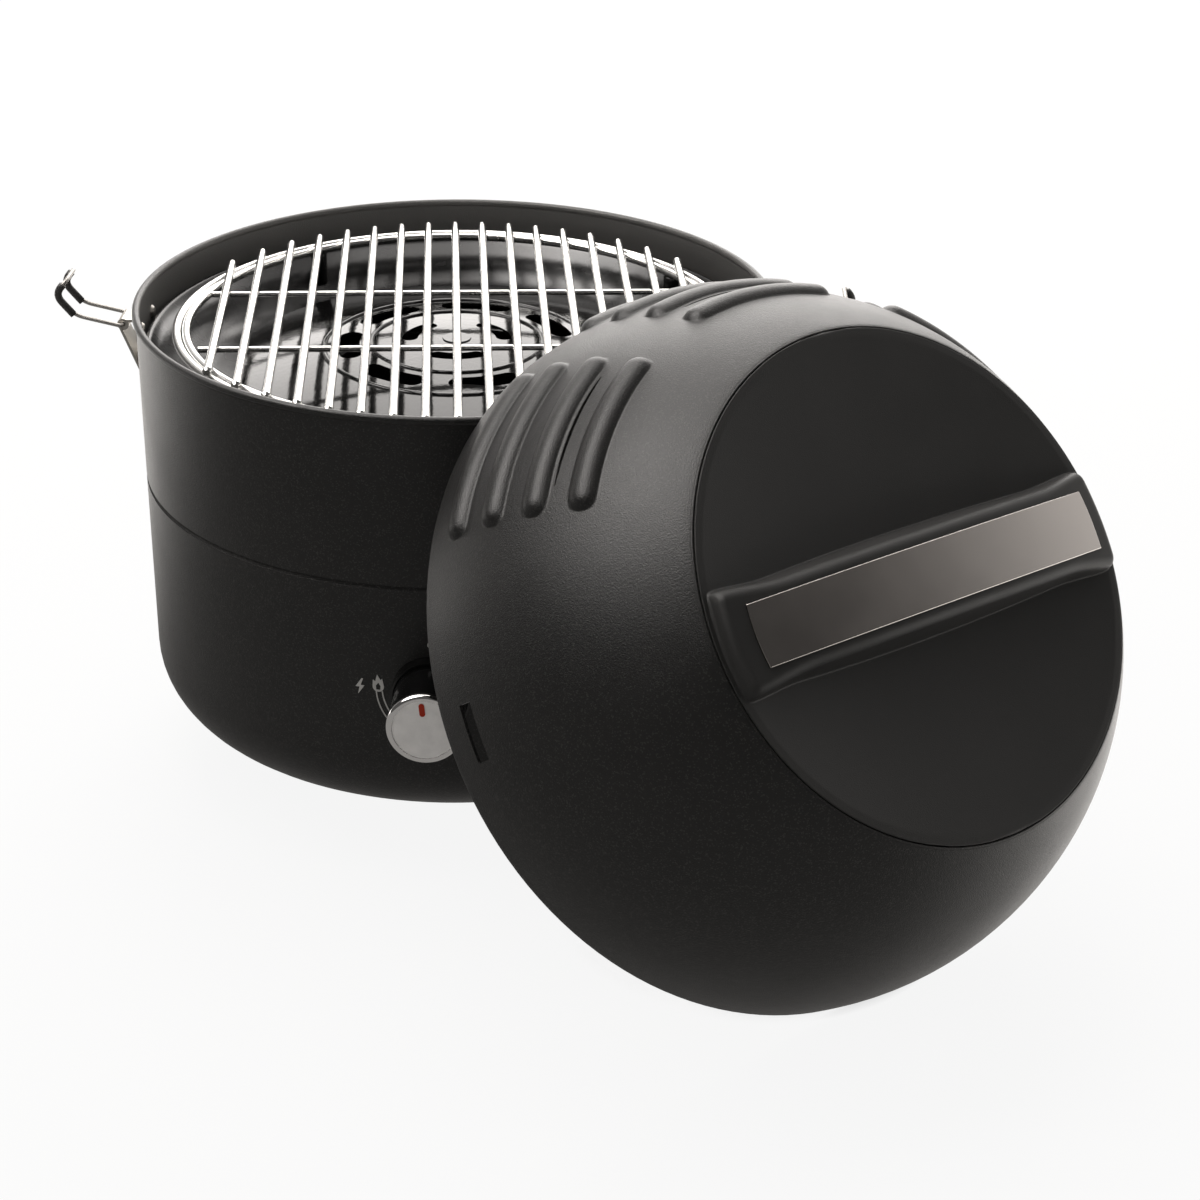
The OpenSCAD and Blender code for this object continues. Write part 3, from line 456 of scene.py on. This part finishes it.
# Knob bezel: a thin collar of gloss black plastic round the knob, shaped to the pot's wall and
# fixed to it.
knob_black = finish_of("knob_black", ((0.004, 0.004, 0.004), (0.006, 0.006, 0.006)),
                       (0.1, 0.16), (900, 40), (0.05, 0.0002))
dress(knob_black, "knob_bezel")

# Valve stem: a rod of plated steel, fixed to the valve's plug and pushed through the wall into
# the knob.
dress(screw_steel, "valve_stem")

# Knob barrel: the knob's body, moulded in gloss black plastic, hollow behind and pressed on
# the stem.
dress(knob_black, "knob_barrel")

# Knob cap: a bright plated ring with a rounded edge, pressed on the barrel's front round the
# face.
knob_chrome = finish_of("knob_chrome", ((0.80, 0.79, 0.78), (0.88, 0.87, 0.86)),
                        (0.06, 0.12), (900, 40), (0.05, 0.0002), metallic=1.0)
dress(knob_chrome, "knob_cap")

# Knob face: a stamped disc of satin aluminium, let into the cap and glued to the barrel's
# front.
knob_satin = finish_of("knob_satin", ((0.66, 0.645, 0.63), (0.92, 0.90, 0.88)),
                       (0.4, 0.52), (900, 160), (0.15, 0.0003), metallic=0.2)
dress(knob_satin, "knob_face")

# Knob mark: a short stroke of red paint, printed near the face's edge. It points to the dial
# marks.
mark_red = finish_of("mark_red", ((0.32, 0.02, 0.006), (0.39, 0.03, 0.009)),
                     (0.5, 0.6), (900, 90), (0.1, 0.0002), specular=0.15)
dress(mark_red, "knob_marker")

# Grate: two rings, two cross rods and seventeen bars of steel wire, welded and bright plated.
# It lies on the bowl's studs and lifts off.
grate_chrome = finish_of("grate_chrome", ((0.66, 0.655, 0.645), (0.76, 0.755, 0.74)),
                         (0.2, 0.28), (600, 60), (0.08, 0.0003), metallic=1.0)
dress(grate_chrome, "grate_rings", "grate_rods", "grate_bars")

# Latch brackets and their rivets: straps of plated steel, rolled into a knuckle for the bail's
# wire and riveted to the pot's wall.
latch_steel = finish_of("latch_steel", ((0.42, 0.40, 0.37), (0.52, 0.50, 0.46)),
                        (0.3, 0.45), (700, 80), (0.15, 0.0003), metallic=1.0)
dress(latch_steel, "latch_bracket_left", "latch_bracket_right", "latch_rivets")


# Bail wires: sprung steel wire, bent into a closed loop through the bracket's knuckle, and
# hooked at its tip to hold the lid's slot.
def tube(path, radius, toward, closed=False, sides=16):
    """A round bar along a path: each point p carries the ring p + r(n cos a + b sin a), where n
    is the part of the given direction that is square to the path and b is square to both."""
    if closed:
        along = np.roll(path, -1, axis=0) - np.roll(path, 1, axis=0)
    else:
        along = np.gradient(path, axis=0)
    along = along / np.linalg.norm(along, axis=1, keepdims=True)
    toward = np.broadcast_to(np.asarray(toward, float), path.shape)
    n = toward - np.sum(toward * along, axis=1, keepdims=True) * along
    n = n / np.linalg.norm(n, axis=1, keepdims=True)
    b = np.cross(along, n)
    a = np.linspace(0, 2 * np.pi, sides + 1)[:-1][None, :, None]
    radius = np.broadcast_to(np.asarray(radius, float), len(path))[:, None, None]
    rings = path[:, None] + radius * (n[:, None] * np.cos(a) + b[:, None] * np.sin(a))
    return np.concatenate([rings, rings[:1]]) if closed else rings


wire_r, leg_y = 0.0012, 0.011
leg = np.array([[0.190, 0.2565], [0.217, 0.2625], [0.227, 0.2745], [0.220, 0.2825]])
leg_bends = [0.0018, 0.006, 0.006, 0.004]
near_leg = np.insert(leg, 1, -leg_y, axis=1)
far_leg = np.insert(leg, 1, leg_y, axis=1)
wire_path = bend(np.concatenate([near_leg, far_leg[::-1]]), leg_bends + leg_bends[::-1])
wire_bar = tube(wire_path, wire_r, wire_path - wire_path.mean(axis=0), closed=True)
wire_steel = finish_of("wire_steel", ((0.36, 0.345, 0.325), (0.46, 0.445, 0.42)),
                       (0.42, 0.55), (700, 80), (0.1, 0.0003), metallic=0.8)
half_turn = np.array([-1, -1, 1])
for end, turned in (("left", half_turn), ("right", np.ones(3))):
    wire = skin(f"wire_{end}", wire_bar * turned, round_trip=True)
    wire.data.materials.append(wire_steel)
    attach(wire, f"{end}_bail")
    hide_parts(f"bail_wire_{end}")

# Bail sleeves: black plastic tube, cut to length and slipped over both legs of each wire where
# a finger pulls it.
sleeve_r, sleeve_stop, sleeve_bend, sleeve_steps, sleeve_end = 0.0021, 0.72, 0.006, 9, 1e-7
sleeve_corners = np.stack([leg[1], leg[2], leg[2] + sleeve_stop * (leg[3] - leg[2])])
sleeve_line = bend(sleeve_corners, [0, sleeve_bend, 0], steps=sleeve_steps)
sleeve_line = sleeve_line[sleeve_steps - 1:1 - sleeve_steps]
sleeve_line = np.concatenate([sleeve_line[:1], sleeve_line[:1] + sleeve_end, sleeve_line[1:-1],
                              sleeve_line[-1:] - sleeve_end, sleeve_line[-1:]])
sleeve_radius = np.concatenate([[0], np.full(len(sleeve_line) - 2, sleeve_r), [0]])
sleeve_black = finish_of("sleeve_black", ((0.028, 0.027, 0.026), (0.038, 0.037, 0.036)),
                         (0.5, 0.6), (1200, 90), (0.2, 0.0003))
for end, turned in (("left", half_turn), ("right", np.ones(3))):
    legs = [tube(np.insert(sleeve_line, 1, y, axis=1), sleeve_radius, (0, 1, 0)) * turned
            for y in (-leg_y, leg_y)]
    sleeve = skin(f"sleeves_{end}", *legs, round_trip=True)
    sleeve.data.materials.append(sleeve_black)
    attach(sleeve, f"{end}_bail")
    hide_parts(f"bail_grip_{end}")


# Lid: a deep-drawn steel dome with a rolled edge, three groups of four pressed louvres, a vent
# slit under the third louvre of each group, two latch slots and a flat-bottomed seat for the
# handle. It leans on the pot's rim, so its frame is turned and tipped.
lid_r, lid_wall, lid_skirt, lid_roll, insert_r = 0.1875, 0.0015, 0.0088, 0.0016, 0.1275
lean, bearing, spin = np.radians([37.1, 41.5, -3.7])
rim_out, rim_up = 0.249481, 0.149006
lid_axis = np.array([np.sin(bearing) * np.cos(lean), -np.cos(bearing) * np.cos(lean),
                     np.sin(lean)])
level = np.array([np.cos(bearing), np.sin(bearing), 0.0])
steep = np.cross(lid_axis, level)
lid_frame = np.stack([np.cos(spin) * level + np.sin(spin) * steep,
                      np.cos(spin) * steep - np.sin(spin) * level, lid_axis])
rim_centre = np.array([rim_out * np.sin(bearing), -rim_out * np.cos(bearing), rim_up])


def on_lid(points):
    """A point of the lid's own frame, put where the lid leans: the centre of its rim plus x, y
    and z along the lid's axes."""
    return rim_centre + points @ lid_frame


louvre_first, louvre_pitch, louvre_half, louvre_r, louvre_rise = 5.5, 8.2, 13.5, 0.009, 0.0042
louvre_at = louvre_first + louvre_pitch * np.arange(4)
group_at = np.array([45.0, 90.0, 135.0])


def louvres(turn, height):
    """Rise of the dome at an angle round it and an elevation on it, both in degrees. A louvre is
    what stands out of a round bar in the dome: sqrt(r^2 - d^2) - (r - rise), where d is the way
    to the louvre's line; the highest counts."""
    rise = np.zeros(np.broadcast(turn, height).shape)
    for group in group_at:
        for louvre in louvre_at:
            past = np.clip(np.abs(turn - group) - louvre_half, 0, None) * np.cos(np.radians(louvre))
            away = lid_r * np.radians(np.hypot(past, height - louvre))
            arc = np.sqrt(np.clip(louvre_r ** 2 - away ** 2, 0, None)) - louvre_r + louvre_rise
            rise = np.maximum(rise, arc)
    return rise


# The slits and the slots are cells of the dome's grid that stay open. Angles are in degrees.
slit_in, slit_half, slit_reach, slit_fade, slit_row = 3.1, 0.26, 11.5, 1.6, 0.02
slit_at = louvre_at[2] + slit_in
slot_z, slot_half_w, slot_half_l = 0.0241, 0.0044, 0.0145
slot_edges = slot_z + np.array([-slot_half_w, slot_half_w]) - lid_skirt
slot_low, slot_high = np.degrees(np.arcsin(slot_edges / lid_r))
slot_middle = np.radians(0.5 * (slot_low + slot_high))
slot_turn = np.degrees(slot_half_l / (lid_r * np.cos(slot_middle)))

# Columns lie close where a louvre ends, and rows where it rises; both meet every slot's edge.
end_columns = louvre_half + np.array([-1.0, 0, 0.7, 1.2, 1.6, 1.9, 2.1, 2.25, 2.35, 2.45, 2.55,
                                      2.65, 2.8, 3.2])
group_columns = np.concatenate([-end_columns, np.linspace(-11, 11, 12), end_columns])
gap_columns, plain_columns = [64.0, 67.5, 71.0, 109.0, 112.5, 116.0], np.arange(154, 387, 2.5)
slot_columns = [slot_turn, 180 - slot_turn, 180 + slot_turn, 360 - slot_turn]
columns = np.unique(np.round(np.concatenate([
    (group_at[:, None] + group_columns).ravel(), gap_columns, plain_columns,
    slot_columns]) % 360, 4))
lip_round, lip_drop, seat_deep = 0.0005, 0.004, 0.0143
top = np.degrees(np.arccos((insert_r + lip_round) / (lid_r - lip_round)))
louvre_rows = np.array([-2.7, -2.4, -2.3, -2.1, -1.8, -1.4, -1.0, -0.5, 0.0, 0.5, 1.0, 1.4, 1.8,
                        2.1, 2.3, 2.4, 2.7, 3.5, 4.4])
low_rows, high_rows = [0, 1.2, 2.2], [35.4, 37.5, 39.5, 41.5, 43.5, 45.3]
heights = np.unique(np.round(np.concatenate([
    low_rows, (louvre_at[:, None] + louvre_rows).ravel(), high_rows, [top, slot_low, slot_high],
    slit_at + np.array([-slit_row, slit_row])]), 4))
heights = heights[heights <= np.round(top, 4)]

# The dome: rows next to a slit draw apart in the shape of a lens, then louvres lift the sphere.
T, B = np.meshgrid(columns, heights)
nearest = np.min(np.abs(T[None] - group_at[:, None, None]), axis=0)
lens = np.sqrt(np.clip(1 - (nearest / slit_reach) ** 2, 0, 1))
off = B - slit_at
B = B + np.sign(off) * slit_half * lens * np.exp(-np.abs(off) / slit_fade)
reach = lid_r + louvres(T, B)
T, B = np.radians(T), np.radians(B)
dome = np.stack([reach * np.cos(B) * np.cos(T), reach * np.cos(B) * np.sin(T),
                 lid_skirt + reach * np.sin(B)], axis=-1)

# The rolled edge and the skirt come before the dome, the seat's tangent lip and floor after it.
skirt_z, seat_rows, seat_rings = [0.0042, 0.0066], 3, [0.125, 0.08, 0.03, 0.0]
roll_turn = np.linspace(np.pi, 2 * np.pi, 9)
edge_r = np.concatenate([lid_r - lid_roll + lid_roll * np.cos(roll_turn), [lid_r, lid_r]])
edge_z = np.concatenate([lid_roll + lid_roll * np.sin(roll_turn), skirt_z])
lip_turn = np.linspace(np.radians(top), np.pi, 8)[1:]
lip_centre_z = lid_skirt + (lid_r - lip_round) * np.sin(np.radians(top))
insert_z = lid_skirt + np.sqrt(lid_r ** 2 - insert_r ** 2)
seat_z = insert_z - seat_deep + lid_wall
lip_r = np.concatenate([insert_r + lip_round + lip_round * np.cos(lip_turn),
                        np.full(seat_rows, insert_r), seat_rings])
lip_z = np.concatenate([lip_centre_z + lip_round * np.sin(lip_turn),
                        np.linspace(insert_z - lip_drop, seat_z, seat_rows),
                        np.full(len(seat_rings), seat_z)])
turns = np.radians(columns)
rows = np.concatenate([revolve(edge_r, edge_z, turns), dome, revolve(lip_r, lip_z, turns)])
middle_b = 0.5 * (heights[1:] + heights[:-1])
middle_t = columns + 0.5 * np.diff(np.append(columns, columns[0] + 360))
at_slot = (middle_b > slot_low) & (middle_b < slot_high)
in_slot = np.abs(np.sin(np.radians(middle_t))) < np.sin(np.radians(slot_turn))
at_slit = np.abs(middle_b - slit_at) < slit_row
near_group = np.min(np.abs(middle_t[None] - group_at[:, None]), axis=0) < slit_reach
open_cells = np.zeros((len(rows) - 1, len(turns)), bool)
open_cells[len(edge_r):len(edge_r) + len(middle_b)] = (
    (at_slot[:, None] & in_slot) | (at_slit[:, None] & near_group))
lid_shell = skin("lid_shell", on_lid(rows), round_trip=True, leave_out=open_cells)
sheet = lid_shell.modifiers.new("sheet", "SOLIDIFY")
sheet.thickness = lid_wall
sheet.offset = -1
lid_shell.data.materials.append(powder_coat)
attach(lid_shell, "lid")
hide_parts("lid_dome")

# Handle insert: one black plastic moulding that fills the lid's seat, dished on both sides of
# an arched grip bar with rounded shoulders that spread at its ends. Screws hold it from inside.
seat_gap = 0.00005
insert_rim, rim_round, insert_low = 0.1272, 0.0005, seat_z + seat_gap
dish_deep, dish_edge, fillet = 0.009, 0.004, 0.003
grip_h, grip_arch, grip_flat = 0.0185, 0.690, 0.01625
grip_top = insert_z + grip_h
grip_spread, spread_from, spread_to = 0.0035, 0.085, 0.124
shoulder, shoulder_part, side_slope = 0.006, 0.98, 5.0
end_from, end_round, end_reach, end_slope = 0.1195, 0.0045, 0.0044, 8.0
handle_turn = np.radians(2.2)
handle_frame = np.array([[np.cos(handle_turn), np.sin(handle_turn), 0],
                         [-np.sin(handle_turn), np.cos(handle_turn), 0], [0, 0, 1]])


def step(low, high, value):
    """Smooth step from 0 at low to 1 at high: 3t^2 - 2t^3."""
    t = np.clip((value - low) / (high - low), 0, 1)
    return t * t * (3 - 2 * t)


def insert_top(x, y):
    """Height of the moulding's face: the dish is a shallow bowl, the bar an arch with a flat top,
    round shoulders and steep sides, and a smooth maximum joins them with a fillet; both are
    rounded off at the rim."""
    r = np.hypot(x, y)
    dish = insert_z - dish_deep * np.clip(1 - (r / (insert_rim - dish_edge)) ** 2, 0, 1)
    rim = np.clip(r - insert_rim + rim_round, 0, rim_round)
    dish = dish - (rim_round - np.sqrt(rim_round ** 2 - rim ** 2))
    spread = grip_spread * step(spread_from, spread_to, np.abs(x))
    past = np.clip(np.abs(y) - grip_flat - spread, 0, None)
    round_y = np.minimum(past, shoulder_part * shoulder)
    drop = shoulder - np.sqrt(shoulder ** 2 - round_y ** 2)
    drop = drop + side_slope * np.clip(past - shoulder_part * shoulder, 0, None)
    end = np.clip(r - end_from, 0, None)
    tip = np.minimum(end, end_reach)
    drop = drop + end_round - np.sqrt(end_round ** 2 - tip ** 2)
    drop = drop + end_slope * np.clip(end - end_reach, 0, None)
    bar = grip_top - grip_arch + np.sqrt(grip_arch ** 2 - x ** 2) - drop
    mix = np.clip(0.5 + 0.5 * (bar - dish) / fillet, 0, 1)
    return dish * (1 - mix) + bar * mix + fillet * mix * (1 - mix)


# Rows across the bar lie close where its shoulders and sides are; the back has fewer columns.
bar_row, side_row, dish_row, back_step = 0.0145, 0.030, 0.120, 28
half_rows = np.concatenate([np.linspace(0, bar_row, 6), np.linspace(bar_row, side_row, 42)[1:],
                            np.linspace(side_row, dish_row, 22)[1:],
                            np.linspace(dish_row, insert_rim, 8)[1:]])
ys = np.concatenate([-half_rows[:0:-1], half_rows])
us = np.sin(np.linspace(-np.pi / 2, np.pi / 2, 141))
chord = np.sqrt(np.clip(insert_rim ** 2 - ys ** 2, 0, None))
X = chord[:, None] * us
Y = np.repeat(ys[:, None], len(us), axis=1)
face = np.stack([X, Y, insert_top(X, Y)], axis=-1)
low = us[::-back_step]
XL = chord[:, None] * low
YL = np.repeat(ys[:, None], len(low), axis=1)
back = np.stack([XL, YL, np.full(XL.shape, insert_low)], axis=-1)
handle_insert = skin("handle_insert",
                     on_lid(np.concatenate([face, back], axis=1) @ handle_frame), round_trip=True)
black_plastic = finish_of("black_plastic", ((0.0145, 0.0142, 0.0136), (0.020, 0.0195, 0.0187)),
                          (0.5, 0.58), (1900, 30), (0.3, 0.0003), specular=0.36)
handle_insert.data.materials.append(black_plastic)
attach(handle_insert, "lid")
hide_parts("handle_disc")

# Bright plate: a strip of polished steel sheet with softened edges and slightly curved ends,
# bent to the bar's arch and fixed on its top.
plate_l, plate_w, plate_t, plate_round = 0.2235, 0.0305, 0.00125, 0.0006
edge_v, edge_u = 0.93, 0.992
plate_v = np.concatenate([[-1], np.linspace(-1, -edge_v, 7), np.linspace(-edge_v, edge_v, 9)[1:-1],
                          np.linspace(edge_v, 1, 7), [1]])
plate_u = np.concatenate([np.linspace(-1, -edge_u, 7), np.linspace(-edge_u, edge_u, 61)[1:-1],
                          np.linspace(edge_u, 1, 7)])
PY = np.repeat(0.5 * plate_w * plate_v[:, None], len(plate_u), axis=1)
half_x = np.sqrt((0.5 * plate_l) ** 2 - PY ** 2)
PX = half_x * plate_u
inset = np.minimum(0.5 * plate_w - np.abs(PY), half_x - np.abs(PX))
outside = np.clip(plate_round - inset, 0, plate_round)
soft = plate_round - np.sqrt(plate_round ** 2 - outside ** 2)
arch_z = grip_top - grip_arch + np.sqrt(grip_arch ** 2 - PX ** 2)
plate_face = np.stack([PX, PY, arch_z + plate_t - soft], axis=-1)
plate_back = np.stack([PX, PY, arch_z + seat_gap], axis=-1)[:, ::-1]
plate_face[[0, -1]] = plate_back[[0, -1], ::-1]
grip_plate = skin("grip_plate",
                  on_lid(np.concatenate([plate_face, plate_back], axis=1) @ handle_frame),
                  round_trip=True)
bright_plate = finish_of("bright_plate", ((0.425, 0.40, 0.38), (0.515, 0.485, 0.46)),
                         (0.16, 0.26), (2200, 30), (0.2, 0.0002), metallic=1.0)
grip_plate.data.materials.append(bright_plate)
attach(grip_plate, "lid")
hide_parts("handle_plate")

# Handle screws: four plated steel screws from inside the lid, up through its seat into the
# handle.
dress(screw_steel, "handle_screws")
